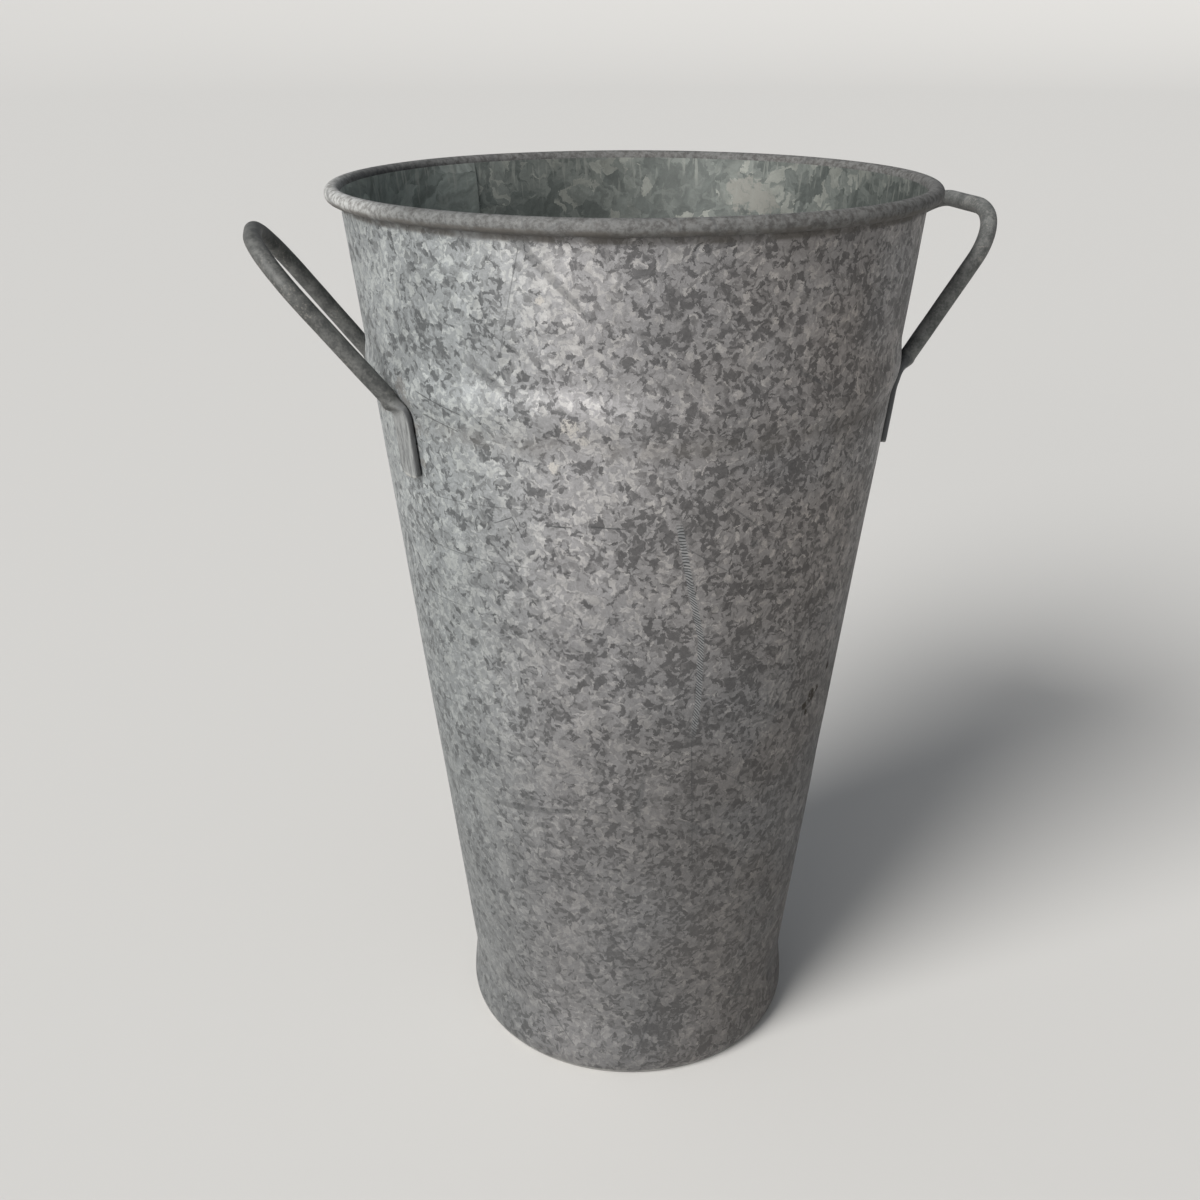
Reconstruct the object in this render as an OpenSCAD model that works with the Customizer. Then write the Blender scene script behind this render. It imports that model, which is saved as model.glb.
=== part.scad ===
// Galvanised flower bucket: a tall tapered sheet steel bucket with a wired rim,
// one swaged band, a rounded foot and two bent rod handles.
// Origin: centre of the resting ring, +Z up, the handles point along -X and +X.

/* [Bucket] */
// Height from the table to the top of the rim
bucket_h = 380; // [330:1:460]
// Outside diameter over the rolled rim
rim_d = 239; // [215:1:290]
// Outside diameter at the waist, just above the foot
waist_d = 145.8; // [120:0.1:178]
// Thickness of the zinc-coated sheet
sheet_t = 0.6; // [0.4:0.05:1]

/* [Rim] */
// Diameter of the wire in the rolled rim
wire_d = 4.4; // [3:0.1:6.5]
// Clearance between the wire and the sheet rolled over it
wire_fit = 0.2; // [0.1:0.05:0.4]
// How far round the wire the sheet is rolled, from the inside of the wall
curl_turn = 305; // [260:1:320]

/* [Seam] */
// Direction of the lap seam, turned from +X towards +Y
seam_turn = 113; // [60:1:120]
// Width of the lap at the rim
seam_w = 9; // [5:0.5:14]

/* [Swaged band] */
// From the rim top down to the middle of the band
band_drop = 69; // [50:1:110]
// Height of the band
band_h = 24; // [14:1:30]
// How far the band stands out from the wall
band_out = 1.6; // [0.6:0.1:2.5]

/* [Foot] */
// Height of the foot, from the table to the waist
foot_h = 29; // [24:1:44]
// How far the foot stands out from the waist
foot_out = 1.4; // [0.6:0.1:4]
// Height at which the foot is widest
foot_belly_h = 9; // [7:0.5:10]
// Radius of the foot's rounded lower edge
foot_edge_r = 12.5; // [11.5:0.5:16]
// Width of the flat turned-in lip that rests on the table
lip_w = 4.5; // [3:0.5:10]
// Height of the lip's upturned inner edge
hem_h = 5; // [2:0.5:7]

/* [Bottom] */
// Height of the underside of the pressed bottom above the table
floor_h = 9; // [8:0.5:10]
// Clearance between the bottom's flange and the foot
flange_fit = 0.2; // [0.1:0.05:0.4]

/* [Handles] */
// Diameter of the handle rod
rod_d = 6.8; // [5:0.1:9]
// Spacing of the two rod centres where they leave the wall
grip_base_w = 82; // [60:1:100]
// Spacing that the two rods would have at the cross bar
grip_end_w = 65; // [48:1:75]
// Length from the wall to the cross bar, along the slope
grip_l = 77.5; // [65:0.5:100]
// Slope of the handle above the horizontal
grip_angle = 51.5; // [35:0.5:62]
// Bend radius of the two corners, at the middle of the rod
corner_r = 26; // [16:0.5:27]
// From the rim top down to where the rods leave the wall
grip_drop = 76; // [60:1:120]
// Width of the flattened rod end
tab_w = 12; // [9:0.5:16]
// Thickness of the flattened rod end
tab_t = 3.2; // [2:0.1:4.5]
// Length of the flattened rod end
tab_l = 27; // [18:1:40]
// Corner radius of the flattened rod end
tab_corner_r = 2; // [0.5:0.5:4]
// Length over which the round rod flattens out
flare_l = 6; // [4:0.5:9]
// Gap between the handle and the wall, where the spot weld is
weld_gap = 0.15; // [0.05:0.05:0.3]

/* [Hidden] */
$fn = 96;

// Rolled rim: the sheet's inner and outer radius round the wire
curl_in_r = wire_d / 2 + wire_fit;
curl_out_r = curl_in_r + sheet_t;
curl_z = bucket_h - curl_out_r;
curl_x = rim_d / 2 - curl_out_r;

// Outside of the plain conical wall
wall_top_x = curl_x - curl_in_r;
wall_low_x = waist_d / 2;
wall_slope = (wall_top_x - wall_low_x) / (curl_z - foot_h);
wall_lean = atan(wall_slope);
function wall_x(z) = wall_low_x + (z - foot_h) * wall_slope;

// Swaged band: a smooth swell with no kink at its two edges
band_z = bucket_h - band_drop;
band_steps = 16;
band_zs = [for (i = [0 : band_steps]) band_z - band_h / 2 + band_h * i / band_steps];
function band_swell(z) = band_out * (1 + cos(360 * (z - band_z) / band_h)) / 2;

// Foot: an S curve from the waist down to the belly, then a round lower edge
belly_x = wall_low_x + foot_out;
foot_steps = 10;
foot_zs = [for (i = [0 : foot_steps]) foot_belly_h + (foot_h - foot_belly_h) * i / foot_steps];
function foot_x(z) = wall_low_x + foot_out
    * (1 + cos(180 * (z - foot_belly_h) / (foot_h - foot_belly_h))) / 2;
edge_x = belly_x - foot_edge_r;
lip_out_x = edge_x + sqrt(pow(foot_edge_r, 2) - pow(foot_belly_h, 2));
lip_in_x = lip_out_x - lip_w;

// Handle frame: the middle between the two rods where they leave the wall
grip_z = bucket_h - grip_drop;
leg_r = wall_x(grip_z) + weld_gap + tab_t / 2;
leg_turn = asin(grip_base_w / 2 / leg_r);
grip_x = leg_r * cos(leg_turn);
rod_taper = atan((grip_base_w - grip_end_w) / 2 / grip_l);
corner_s = grip_l - corner_r;
corner_y = grip_base_w / 2 - corner_s * tan(rod_taper) - corner_r / cos(rod_taper);
rod_l = corner_s / cos(rod_taper) + corner_r * tan(rod_taper);
// Straight pieces are a hair thinner than the bends that they run into
bar_skin = 0.01;
bar_d = rod_d - 2 * bar_skin;
bite = 0.3;
// The flare is a little smaller than what it joins, and runs into it
flare_bite = 0.15;
flare_skin = 0.3;

// Lap seam: a second layer of sheet inside the wall, clear of the bottom and the curl
seam_end = 1;
seam_low = floor_h + 2 * sheet_t;
seam_high = curl_z - seam_end;
seam_deg = seam_w / wall_top_x * 180 / PI;

// Outside of the wall as points from the belly of the foot up to the curl
function outside(grow) = concat(
    [for (z = foot_zs) [foot_x(z) + grow, z]],
    [for (z = band_zs) [wall_x(z) + band_swell(z) + grow, z]],
    [[wall_top_x + grow, curl_z]]
);

function backwards(list) = [for (i = [len(list) - 1 : -1 : 0]) list[i]];

module wall_section() {
    polygon(concat(outside(0), backwards(outside(-sheet_t))));
}

// The quarter under the belly, from the table up to the belly's height
module under_belly(low) {
    translate([edge_x, low])
        square([foot_edge_r + 1, foot_belly_h - low]);
}

module foot_edge_section() {
    intersection() {
        translate([edge_x, foot_belly_h])
            difference() {
                circle(r = foot_edge_r);
                circle(r = foot_edge_r - sheet_t);
            }
        under_belly(0);
    }
    translate([lip_in_x, 0])
        square([lip_w - sheet_t / 2, sheet_t]);
    translate([lip_in_x, 0])
        square([sheet_t, hem_h]);
}

module curl_section() {
    reach = 2 * curl_out_r;
    open_end = 540 - curl_turn;
    open_mid = (180 + open_end) / 2;
    translate([curl_x, curl_z])
        difference() {
            circle(r = curl_out_r);
            circle(r = curl_in_r);
            polygon([
                [0, 0],
                [-reach, 0],
                [reach * cos(open_mid), reach * sin(open_mid)],
                [reach * cos(open_end), reach * sin(open_end)]
            ]);
        }
}

module seam_section() {
    intersection() {
        polygon(concat(outside(-sheet_t / 2), backwards(outside(-2 * sheet_t))));
        translate([0, seam_low])
            square([rim_d, seam_high - seam_low]);
    }
}

module body() {
    color("lightslategray") {
        rotate_extrude() {
            wall_section();
            foot_edge_section();
            curl_section();
        }
        rotate([0, 0, seam_turn])
            rotate_extrude(angle = seam_deg)
                seam_section();
    }
}

module rim_wire() {
    color("silver")
        rotate_extrude()
            translate([curl_x, curl_z])
                circle(d = wire_d);
}

module bottom() {
    flange_r = foot_edge_r - sheet_t - flange_fit;
    color("slategray")
        rotate_extrude() {
            intersection() {
                translate([edge_x, foot_belly_h])
                    difference() {
                        circle(r = flange_r);
                        circle(r = flange_r - sheet_t);
                    }
                under_belly(sheet_t);
            }
            translate([0, floor_h])
                square([edge_x + flange_r, sheet_t]);
        }
}

// The plane of the loop: x runs up the slope, y along the cross bar
module grip_plane() {
    translate([grip_x, 0, grip_z])
        rotate([0, -grip_angle, 0])
            children();
}

// A round bar that starts a given way up the line of the straight rod
module rod_piece(start, length, d) {
    translate([0, grip_base_w / 2, 0])
        rotate([0, 90, -rod_taper])
            translate([0, 0, start])
                cylinder(d = d, h = length);
}

// One straight rod and the corner after it
module half_grip() {
    rod_piece(flare_l, rod_l - flare_l + bite, bar_d);
    translate([corner_s, corner_y, 0])
        rotate_extrude(angle = 90 - rod_taper)
            translate([corner_r, 0])
                circle(d = rod_d);
}

module cross_bar() {
    translate([grip_l, -corner_y - bite, 0])
        rotate([-90, 0, 0])
            cylinder(d = bar_d, h = 2 * (corner_y + bite));
}

// The plane of a flattened rod end: x runs down the leaning wall, z into it
module tab_plane() {
    rotate([0, 0, leg_turn])
        translate([leg_r, 0, grip_z])
            rotate([0, 90 + wall_lean, 0])
                translate([0, 0, -tab_t / 2])
                    children();
}

// Flattened rod end, with its two lower corners rounded
module tab() {
    c = tab_corner_r;
    half = tab_w / 2;
    tab_plane()
        linear_extrude(tab_t) {
            translate([0, -half])
                square([tab_l - c, tab_w]);
            translate([0, -half + c])
                square([tab_l, tab_w - 2 * c]);
            for (side = [-1, 1])
                translate([tab_l - c, side * (half - c)])
                    circle(r = c);
        }
}

// Where the round rod flattens out: it runs a little way into the rod and the end
module flare() {
    hull() {
        grip_plane()
            rod_piece(flare_l + flare_bite, flare_bite, bar_d - 2 * flare_skin, $fn = 32);
        tab_plane()
            translate([-flare_bite, flare_skin - tab_w / 2, flare_skin])
                cube([2 * flare_bite, tab_w - 2 * flare_skin, tab_t - 2 * flare_skin]);
    }
}

module half_handle() {
    grip_plane()
        half_grip();
    flare();
    tab();
}

module handle() {
    difference() {
        union() {
            grip_plane()
                cross_bar();
            half_handle();
            mirror([0, 1, 0])
                half_handle();
        }
        rotate_extrude()
            polygon(concat([[0, foot_belly_h]], outside(weld_gap), [[0, curl_z]]));
    }
}

module handle_right() {
    color("dimgray")
        handle();
}

module handle_left() {
    color("dimgray")
        rotate([0, 0, 180])
            handle();
}

body();
rim_wire();
bottom();
handle_left();
handle_right();
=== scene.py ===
import math

import bmesh
import bpy
import numpy as np
from mathutils import Matrix, Vector, noise


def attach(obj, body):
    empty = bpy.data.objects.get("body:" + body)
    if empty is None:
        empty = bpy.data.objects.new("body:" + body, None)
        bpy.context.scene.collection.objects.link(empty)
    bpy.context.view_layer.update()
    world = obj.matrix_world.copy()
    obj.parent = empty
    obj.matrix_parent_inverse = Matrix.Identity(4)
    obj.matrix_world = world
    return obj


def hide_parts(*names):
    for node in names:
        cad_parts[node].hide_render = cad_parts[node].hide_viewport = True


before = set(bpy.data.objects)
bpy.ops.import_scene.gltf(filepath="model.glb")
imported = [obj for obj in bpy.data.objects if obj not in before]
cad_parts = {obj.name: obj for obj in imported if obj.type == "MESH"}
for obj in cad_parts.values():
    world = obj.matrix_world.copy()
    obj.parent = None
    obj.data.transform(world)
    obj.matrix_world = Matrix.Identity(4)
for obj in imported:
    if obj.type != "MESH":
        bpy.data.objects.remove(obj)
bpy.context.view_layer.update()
mm = 0.001
flatRadius = 0.107  # the wall's usual radius, for marks laid out flat
print("frame loaded")


# small helpers for meshes
def smoothStep(x):
    x = min(1.0, max(0.0, x))
    return x * x * (3 - 2 * x)


def sideStep(points, distance):
    # the same open line, moved to its right by distance, with mitred corners
    points = np.array(points, float)
    along = np.diff(points, axis=0)
    along /= np.linalg.norm(along, axis=1)[:, None]
    right = np.stack([along[:, 1], -along[:, 0]], 1)
    first = np.vstack([right[:1], right])
    last = np.vstack([right, right[-1:]])
    middle = first + last
    middle /= (middle * first).sum(1)[:, None]
    return points + middle * distance


def gridMesh(name, rows, closeRows=False, capEnds=False):
    # rows of points, each row a closed ring
    rows = np.array(rows)
    count, around = rows.shape[:2]
    faces = []
    for i in range(count if closeRows else count - 1):
        j = (i + 1) % count
        for k in range(around):
            m = (k + 1) % around
            faces.append((i * around + k, i * around + m, j * around + m, j * around + k))
    if capEnds:
        faces.append(tuple(range(around))[::-1])
        faces.append(tuple((count - 1) * around + k for k in range(around)))
    mesh = bpy.data.meshes.new(name)
    mesh.from_pydata(rows.reshape(-1, 3).tolist(), [], faces)
    mesh.polygons.foreach_set("use_smooth", [True] * len(mesh.polygons))
    mesh.update()
    piece = bpy.data.objects.new(name, mesh)
    bpy.context.scene.collection.objects.link(piece)
    return piece


def outwards(piece):
    work = bmesh.new()
    work.from_mesh(piece.data)
    bmesh.ops.recalc_face_normals(work, faces=work.faces)
    work.to_mesh(piece.data)
    work.free()


# small helpers for materials
class Desk:
    # one material's node tree, with short ways to add and join nodes
    def __init__(self, name):
        self.material = bpy.data.materials.new(name)
        self.material.use_nodes = True
        self.tree = self.material.node_tree
        self.shader = self.tree.nodes["Principled BSDF"]

    def put(self, socket, value):
        if isinstance(value, bpy.types.NodeSocket):
            self.tree.links.new(value, socket)
        elif socket.type == "RGBA" and len(value) == 3:
            socket.default_value = (*value, 1.0)
        else:
            socket.default_value = value

    def add(self, kind, inputs=None, **settings):
        node = self.tree.nodes.new("ShaderNode" + kind)
        for key, value in settings.items():
            setattr(node, key, value)
        for key, value in (inputs or {}).items():
            self.put(node.inputs[key], value)
        return node

    def math(self, operation, a, b=0.0, clamp=False):
        return self.add("Math", {0: a, 1: b}, operation=operation, use_clamp=clamp).outputs[0]

    def times(self, a, *others):
        for b in others:
            a = self.math("MULTIPLY", a, b)
        return a

    def plus(self, a, b):
        return self.math("ADD", a, b)

    def minus(self, a, b):
        return self.math("SUBTRACT", a, b)

    def most(self, a, b):
        return self.math("MAXIMUM", a, b)

    def vector(self, operation, a, b=(0, 0, 0)):
        key = "Scale" if operation == "SCALE" else 1
        return self.add("VectorMath", {0: a, key: b}, operation=operation).outputs[0]

    def mix(self, share, a, b, blend="MIX"):
        node = self.add("Mix", {0: share, 6: a, 7: b}, data_type="RGBA", blend_type=blend)
        return node.outputs[2]

    def dimmed(self, colour, value):
        grey = self.add("CombineXYZ", {0: value, 1: value, 2: value}).outputs[0]
        return self.mix(1.0, colour, grey, "MULTIPLY")

    def between(self, share, a, b):
        return self.add("Mix", {0: share, 2: a, 3: b}, data_type="FLOAT").outputs[0]

    def span(self, value, low, high, toLow=0.0, toHigh=1.0, kind="SMOOTHSTEP"):
        inputs = {0: value, 1: low, 2: high, 3: toLow, 4: toHigh}
        return self.add("MapRange", inputs, interpolation_type=kind).outputs[0]

    def strip(self, value, low, lowFull, highFull, high):
        # 1 between the two full values, and fading to 0 on both sides
        return self.times(self.span(value, low, lowFull), self.span(value, high, highFull))

    def noise(self, where, size, detail=2.0, roughness=0.5, colour=False, dims="3D"):
        inputs = {"Vector": where, "Scale": 1 / size, "Detail": detail, "Roughness": roughness}
        node = self.add("TexNoise", inputs, noise_dimensions=dims)
        return node.outputs["Color" if colour else "Fac"]

    def cells(self, where, size, dims="2D", feature="F1"):
        inputs = {"Vector": where, "Scale": 1 / size, "Randomness": 1.0}
        return self.add("TexVoronoi", inputs, voronoi_dimensions=dims, feature=feature)

    def ramp(self, value, stops, kind="LINEAR"):
        node = self.add("ValToRGB", {0: value})
        band = node.color_ramp
        band.interpolation = kind
        while len(band.elements) < len(stops):
            band.elements.new(0.5)
        for element, (place, colour) in zip(band.elements, stops):
            element.position = place
            element.color = (*colour, 1.0)
        return node.outputs[0]

    def split(self, value):
        node = self.add("SeparateXYZ", {0: value})
        return node.outputs[0], node.outputs[1], node.outputs[2]

    def turned(self, where, turn):
        inputs = {"Vector": where, "Angle": turn}
        return self.add("VectorRotate", inputs, rotation_type="Z_AXIS").outputs[0]

    def length(self, where):
        return self.add("VectorMath", {0: where}, operation="LENGTH").outputs["Value"]

    def bumps(self, strength, distance, height, normal=None):
        inputs = {"Strength": strength, "Distance": distance, "Height": height}
        if normal is not None:
            inputs["Normal"] = normal
        self.put(self.shader.inputs["Normal"], self.add("Bump", inputs).outputs[0])

    def jiggle(self, where, size, reach, detail=2.0):
        # where, pushed about by noise of that size, by up to about half of reach
        push = self.noise(where, size, detail, 0.55, colour=True)
        push = self.vector("SUBTRACT", push, (0.5, 0.5, 0.5))
        return self.vector("ADD", where, self.vector("SCALE", push, reach))


def spangles(desk, where, look, lift):
    # zinc crystals: ragged patches, each with its own direction and leaf-shaped marks along it
    bent = desk.jiggle(where, look["patch"] * 0.9, look["patch"] * look["jag"], 4.0)
    bent = desk.jiggle(bent, look["patch"] * 0.16, look["patch"] * look["fineJag"], 3.0)
    patch = desk.cells(bent, look["patch"]).outputs["Color"]
    patchTone, patchTurn, gloss = desk.split(patch)
    turned = desk.turned(bent, desk.times(patchTurn, 2 * math.pi))
    slim = desk.vector("MULTIPLY", turned, (1.0, look["slim"], 1.0))
    leaf = desk.cells(slim, look["leaf"]).outputs["Color"]
    leafTone, leafGloss = desk.split(leaf)[:2]
    drift = desk.minus(desk.noise(where, look["cluster"], 3.0, 0.6), 0.5)
    tone = desk.between(look["leafShare"], patchTone, leafTone)
    tone = desk.plus(desk.plus(tone, desk.times(drift, look["gather"])), lift)
    stops, edge = [(0.0, look["tones"][0])], 0.015
    for place, below, above in zip(look["steps"], look["tones"], look["tones"][1:]):
        stops += [(place - edge, below), (place + edge, above)]
    stops.append((1.0, look["tones"][-1]))
    colour = desk.ramp(tone, stops)
    drawn = desk.vector("MULTIPLY", turned, (1.0, look["stretch"], 1.0))
    grain = desk.noise(drawn, look["grain"], 2.0, 0.6)
    fine = desk.span(grain, 0.3, 0.7, 1 - look["streak"], 1 + look["streak"], "LINEAR")
    fine = desk.times(fine, desk.span(leafGloss, 0.0, 1.0, 0.94, 1.06, "LINEAR"))
    colour = desk.dimmed(colour, fine)
    tilt = desk.vector("ADD", desk.vector("SCALE", patch, 0.6), desk.vector("SCALE", leaf, 0.4))
    tilt = desk.vector("SUBTRACT", tilt, (0.5, 0.5, 0.5))
    return {"colour": colour, "grain": grain, "tilt": tilt, "gloss": gloss}


def tilted(desk, tilt, amount):
    # the true normal, leaned a little to each crystal's own side
    normal = desk.add("NewGeometry").outputs["Normal"]
    leaned = desk.vector("ADD", normal, desk.vector("SCALE", tilt, amount))
    return desk.vector("NORMALIZE", leaned)


# the sheet: sizes in millimetres
sheet = {
    "thick": 0.6,
    "wallLow": 72.9,
    "wallTop": 114.0,
    "waistHeight": 29.0,
    "curlHeight": 376.75,
    "bandMiddle": 311.0,
    "bandHeight": 24.0,
    "bandOut": 1.6,
    "bellyRadius": 74.3,
    "bellyHeight": 9.0,
    "edgeRadius": 12.5,
    "edgeTurn": -43.5,  # where the rounded edge runs into the lip
    "lipIn": 65.98,
    "lipSteps": (67.6, 68.8, 69.7),  # radii along the flat lip
    "hemSteps": (5.0, 3.4, 1.8, 0.8),  # heights down the hem
    "curlRadius": 2.7,
    "curlTurn": 305,
    "lapStart": 113.0,  # turns from +X in degrees
    "lapEnd": 117.5,
    "lapFade": 10.0,
    "lapLow": 11.0,
    "lapHigh": 371.0,
    "columns": 300,
    "step": 0.04,  # half the turn across a lap edge
    "wave": 0.16,
    "waveSize": 70,
    "ripple": 0.05,
    "rippleSize": 21,
    "freeFrom": 6,
    "freeOver": 40,
    "stiffFrom": 340,  # the wired rim holds the sheet truer
    "stiffOver": 36,
    "stiffShare": 0.55,
    "oval": 0.5,
    "ovalTurn": -0.2,  # in radians from +X
    "ovalFrom": 180,
    "ovalOver": 150,
    "rimWave": 0.22,
    "rimWaveFrom": 300,
    "rimWaveOver": 76,
}
# shallow dents: turn from +X in degrees, height, half width, depth
dents = [
    (-84.0, 108.0, 17.0, 0.45),
    (-62.0, 236.0, 22.0, 0.35),
    (-131.0, 196.0, 26.0, 0.4),
    (-104.0, 62.0, 15.0, 0.3),
    (-20.0, 140.0, 24.0, 0.45),
    (47.0, 205.0, 26.0, 0.5),
    (158.0, 120.0, 22.0, 0.45),
    (96.0, 268.0, 20.0, 0.3),
]
wallSlope = (sheet["wallTop"] - sheet["wallLow"]) / (sheet["curlHeight"] - sheet["waistHeight"])
wallLean = math.atan(wallSlope)


def wallRadius(z):
    return sheet["wallLow"] + (z - sheet["waistHeight"]) * wallSlope


def bandSwell(z):
    t = (z - sheet["bandMiddle"]) / sheet["bandHeight"]
    return sheet["bandOut"] * (1 + math.cos(2 * math.pi * t)) / 2 if abs(t) < 0.5 else 0.0


def footRadius(z):
    t = (z - sheet["bellyHeight"]) / (sheet["waistHeight"] - sheet["bellyHeight"])
    swell = sheet["bellyRadius"] - sheet["wallLow"]
    return sheet["wallLow"] + swell * (1 + math.cos(math.pi * t)) / 2


def spot(desk, place, rag, turn, height, size, ragged=2.4):
    # the share of a ragged spot on the wall, at that turn in degrees and height in millimetres
    t, r = math.radians(turn), wallRadius(height) + bandSwell(height)
    middle = (r * math.cos(t) * mm, r * math.sin(t) * mm, height * mm)
    away = desk.add("VectorMath", {0: place, 1: middle}, operation="DISTANCE").outputs["Value"]
    away = desk.plus(away, desk.times(rag, size * mm * ragged))
    return desk.span(away, size * mm * 1.05, size * mm * 0.75)


def spots(desk, place, rag, places, ragged=2.4):
    # the share of the nearest of several spots
    share = None
    for turn, height, size in places:
        here = spot(desk, place, rag, turn, height, size, ragged)
        share = here if share is None else desk.most(share, here)
    return share


def lineMark(desk, flat, rag, start, end, width):
    # the share of a scratch between two places on the wall, each a turn and a height
    a, b = (Vector((math.radians(turn) * flatRadius, height * mm, 0)) for turn, height in (start, end))
    along = b - a
    away = desk.vector("SUBTRACT", flat, tuple(a))
    inputs = {0: away, 1: tuple(along / along.length_squared)}
    share = desk.add("VectorMath", inputs, operation="DOT_PRODUCT").outputs["Value"]
    share = desk.math("MINIMUM", desk.most(share, 0.0), 1.0)
    off = desk.length(desk.vector("SUBTRACT", away, desk.vector("SCALE", tuple(along), share)))
    off = desk.plus(off, desk.times(rag, width * mm * 2.2))
    return desk.span(off, width * mm * 1.3, width * mm * 0.5)


def sheetMiddle():
    # the middle of the sheet's thickness, from the hem's inner edge up to the end of the curl
    half = sheet["thick"] / 2
    hem = sheet["lipIn"] + half
    line = [(hem, z) for z in sheet["hemSteps"]]
    line += [(hem + 0.13, 0.42), (hem + 0.5, half)]  # the hem's rounded fold
    line += [(r, half) for r in sheet["lipSteps"]]
    centre = sheet["bellyRadius"] - sheet["edgeRadius"]
    reach = sheet["edgeRadius"] - half
    for turn in np.linspace(sheet["edgeTurn"], 0, 13):
        t = math.radians(turn)
        line.append((centre + reach * math.cos(t), sheet["bellyHeight"] + reach * math.sin(t)))
    for z in np.linspace(sheet["bellyHeight"], sheet["waistHeight"], 13)[1:]:
        line.append((footRadius(z) - half, z))
    bandLow = sheet["bandMiddle"] - sheet["bandHeight"] / 2
    bandHigh = sheet["bandMiddle"] + sheet["bandHeight"] / 2
    for z in np.linspace(sheet["waistHeight"], bandLow, 34)[1:]:
        line.append((wallRadius(z) - half, z))
    for z in np.linspace(bandLow, bandHigh, 17)[1:]:
        line.append((wallRadius(z) + bandSwell(z) - half, z))
    for z in np.linspace(bandHigh, sheet["curlHeight"], 9)[1:-1]:
        line.append((wallRadius(z) - half, z))
    curlStart = len(line)
    centre = sheet["wallTop"] - half + sheet["curlRadius"]
    for turn in np.linspace(180, 180 - sheet["curlTurn"], 27):
        t = math.radians(turn)
        line.append((centre + sheet["curlRadius"] * math.cos(t),
                     sheet["curlHeight"] + sheet["curlRadius"] * math.sin(t)))
    return line, curlStart


def sheetPush(turn, z):
    # how far the worn sheet lies out of true, in millimetres along the radius
    t = math.radians(turn)
    place = Vector((math.cos(t) * 100, math.sin(t) * 100, z))
    stiff = smoothStep((z - sheet["stiffFrom"]) / sheet["stiffOver"])
    free = smoothStep((z - sheet["freeFrom"]) / sheet["freeOver"]) * (1 - sheet["stiffShare"] * stiff)
    push = sheet["wave"] * noise.noise(place / sheet["waveSize"])
    push += sheet["ripple"] * noise.noise(place / sheet["rippleSize"])
    rise = smoothStep((z - sheet["ovalFrom"]) / sheet["ovalOver"])
    push += sheet["oval"] * max(0.0, math.cos(t - sheet["ovalTurn"])) ** 2 * rise
    for middle, height, half, depth in dents:
        away = math.radians((turn - middle + 180) % 360 - 180) * wallRadius(z)
        far = math.hypot(away, z - height) / half
        if far < 1:
            push -= depth * (1 - far * far) ** 2
    return push * free


def lapPush(turn, z, side):
    # the lap seam: one sheet end lies over the other and runs back to the true line beside it
    inUse = smoothStep((z - sheet["lapLow"]) / 6) * (1 - smoothStep((z - sheet["lapHigh"]) / 4))
    after = 1 - smoothStep((turn - sheet["lapEnd"]) / sheet["lapFade"])
    inLap = sheet["lapStart"] < turn < sheet["lapEnd"]
    if side == "inside":
        amount = 1.0 if inLap else after if turn > sheet["lapEnd"] else 0.0
    else:
        amount = after if turn > sheet["lapEnd"] else 0.0
    return -sheet["thick"] * amount * inUse


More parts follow.
